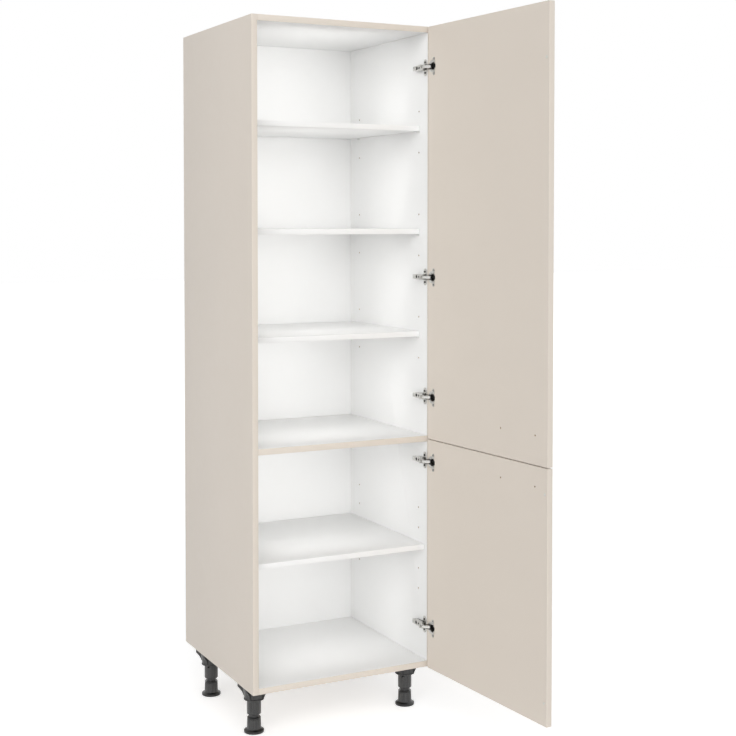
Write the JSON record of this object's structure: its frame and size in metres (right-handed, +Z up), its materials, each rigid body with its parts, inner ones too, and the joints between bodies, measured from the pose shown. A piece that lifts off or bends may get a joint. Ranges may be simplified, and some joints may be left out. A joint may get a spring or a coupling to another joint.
{
  "type": "tall kitchen cabinet",
  "caption": "Tall kitchen cabinet on adjustable feet, shelves inside, with an upper and a lower door on concealed cup hinges at the right.",
  "frame": {"origin": "on the floor, under the centre of the bounding box with both doors at rest, open at 93.8 degrees", "axes": "+Z up, +X across the front towards the hinge side, +Y from the front to the back"},
  "size_m": [0.636, 1.1941, 2.129],
  "materials": {
    "cashmere_melamine": "matt cashmere melamine on 18 mm board, white on the faces inside the carcass",
    "white_melamine": "matt white melamine on board",
    "nickel_plated_steel": "bright nickel plate on pressed and die-cast hinge parts",
    "dark_plastic": "satin dark grey moulded plastic",
    "soft_clear_plastic": "soft translucent bumper"
  },
  "bodies": {
    "carcass": {"back_joining_strip": "white_melamine", "back_sheet_lower": "white_melamine", "back_sheet_upper": "white_melamine", "bottom_panel": "cashmere_melamine", "front_left_leg": "dark_plastic", "front_left_socket": "dark_plastic", "front_right_leg": "dark_plastic", "front_right_socket": "dark_plastic", "left_side_panel": "cashmere_melamine", "lower_hinge_bottom_arm": "nickel_plated_steel", "lower_hinge_bottom_mounting_plate": "nickel_plated_steel", "lower_hinge_top_arm": "nickel_plated_steel", "lower_hinge_top_mounting_plate": "nickel_plated_steel", "lower_shelf": "white_melamine", "middle_panel": "cashmere_melamine", "rear_left_leg": "dark_plastic", "rear_left_socket": "dark_plastic", "rear_right_leg": "dark_plastic", "rear_right_socket": "dark_plastic", "right_side_panel": "cashmere_melamine", "top_panel": "cashmere_melamine", "upper_hinge_bottom_arm": "nickel_plated_steel", "upper_hinge_bottom_mounting_plate": "nickel_plated_steel", "upper_hinge_middle_arm": "nickel_plated_steel", "upper_hinge_middle_mounting_plate": "nickel_plated_steel", "upper_hinge_top_arm": "nickel_plated_steel", "upper_hinge_top_mounting_plate": "nickel_plated_steel", "upper_shelf_1": "white_melamine", "upper_shelf_2": "white_melamine", "upper_shelf_3": "white_melamine"},
    "front_left_foot_body": {"front_left_foot": "dark_plastic"},
    "front_right_foot_body": {"front_right_foot": "dark_plastic"},
    "lower_door_body": {"lower_bumper_bottom": "soft_clear_plastic", "lower_bumper_top": "soft_clear_plastic", "lower_door": "cashmere_melamine", "lower_hinge_bottom_cup": "nickel_plated_steel", "lower_hinge_top_cup": "nickel_plated_steel"},
    "lower_inner_links": {"lower_hinge_bottom_inner_link": "nickel_plated_steel", "lower_hinge_top_inner_link": "nickel_plated_steel"},
    "lower_outer_links": {"lower_hinge_bottom_outer_link": "nickel_plated_steel", "lower_hinge_top_outer_link": "nickel_plated_steel"},
    "rear_left_foot_body": {"rear_left_foot": "dark_plastic"},
    "rear_right_foot_body": {"rear_right_foot": "dark_plastic"},
    "upper_door_body": {"upper_bumper_top": "soft_clear_plastic", "upper_door": "cashmere_melamine", "upper_hinge_bottom_cup": "nickel_plated_steel", "upper_hinge_middle_cup": "nickel_plated_steel", "upper_hinge_top_cup": "nickel_plated_steel"},
    "upper_inner_links": {"upper_hinge_bottom_inner_link": "nickel_plated_steel", "upper_hinge_middle_inner_link": "nickel_plated_steel", "upper_hinge_top_inner_link": "nickel_plated_steel"},
    "upper_outer_links": {"upper_hinge_bottom_outer_link": "nickel_plated_steel", "upper_hinge_middle_outer_link": "nickel_plated_steel", "upper_hinge_top_outer_link": "nickel_plated_steel"}
  },
  "joints": [
    {"name": "upper_arm_pivot", "type": "hinge", "parent": "carcass", "child": "upper_outer_links", "pos_m": [0.25262, 0.0031, 1.494], "axis": [0, 0, 1], "range_deg": [-9.73, 56.29]},
    {"name": "upper_door_hinge", "type": "hinge", "parent": "upper_outer_links", "child": "upper_door_body", "pos_m": [0.26277, -0.01143, 1.494], "axis": [0, 0, 1], "range_deg": [-150.08, 25.92]},
    {"name": "upper_inner_pivot", "type": "hinge", "parent": "carcass", "child": "upper_inner_links", "pos_m": [0.24266, 0.00135, 1.494], "axis": [0, 0, 1], "range_deg": [-8.13, 47]},
    {"name": "lower_arm_pivot", "type": "hinge", "parent": "carcass", "child": "lower_outer_links", "pos_m": [0.25262, 0.0031, 0.502], "axis": [0, 0, 1], "range_deg": [-9.73, 56.29]},
    {"name": "lower_door_hinge", "type": "hinge", "parent": "lower_outer_links", "child": "lower_door_body", "pos_m": [0.26277, -0.01143, 0.502], "axis": [0, 0, 1], "range_deg": [-150.08, 25.92]},
    {"name": "lower_inner_pivot", "type": "hinge", "parent": "carcass", "child": "lower_inner_links", "pos_m": [0.24266, 0.00135, 0.502], "axis": [0, 0, 1], "range_deg": [-8.13, 47]},
    {"name": "front_left_foot_screw", "type": "slide", "parent": "carcass", "child": "front_left_foot_body", "axis": [0, 0, -1], "range_m": [-0.0075, 0.02]},
    {"name": "front_right_foot_screw", "type": "slide", "parent": "carcass", "child": "front_right_foot_body", "axis": [0, 0, -1], "range_m": [-0.0075, 0.02]},
    {"name": "rear_left_foot_screw", "type": "slide", "parent": "carcass", "child": "rear_left_foot_body", "axis": [0, 0, -1], "range_m": [-0.0075, 0.02]},
    {"name": "rear_right_foot_screw", "type": "slide", "parent": "carcass", "child": "rear_right_foot_body", "axis": [0, 0, -1], "range_m": [-0.0075, 0.02]}
  ],
  "couplings": [
    {"joint": "upper_arm_pivot", "follows": "upper_door_hinge", "ratio": -0.375},
    {"joint": "upper_inner_pivot", "follows": "upper_door_hinge", "ratio": -0.31312},
    {"joint": "lower_arm_pivot", "follows": "lower_door_hinge", "ratio": -0.375},
    {"joint": "lower_inner_pivot", "follows": "lower_door_hinge", "ratio": -0.31312}
  ]
}
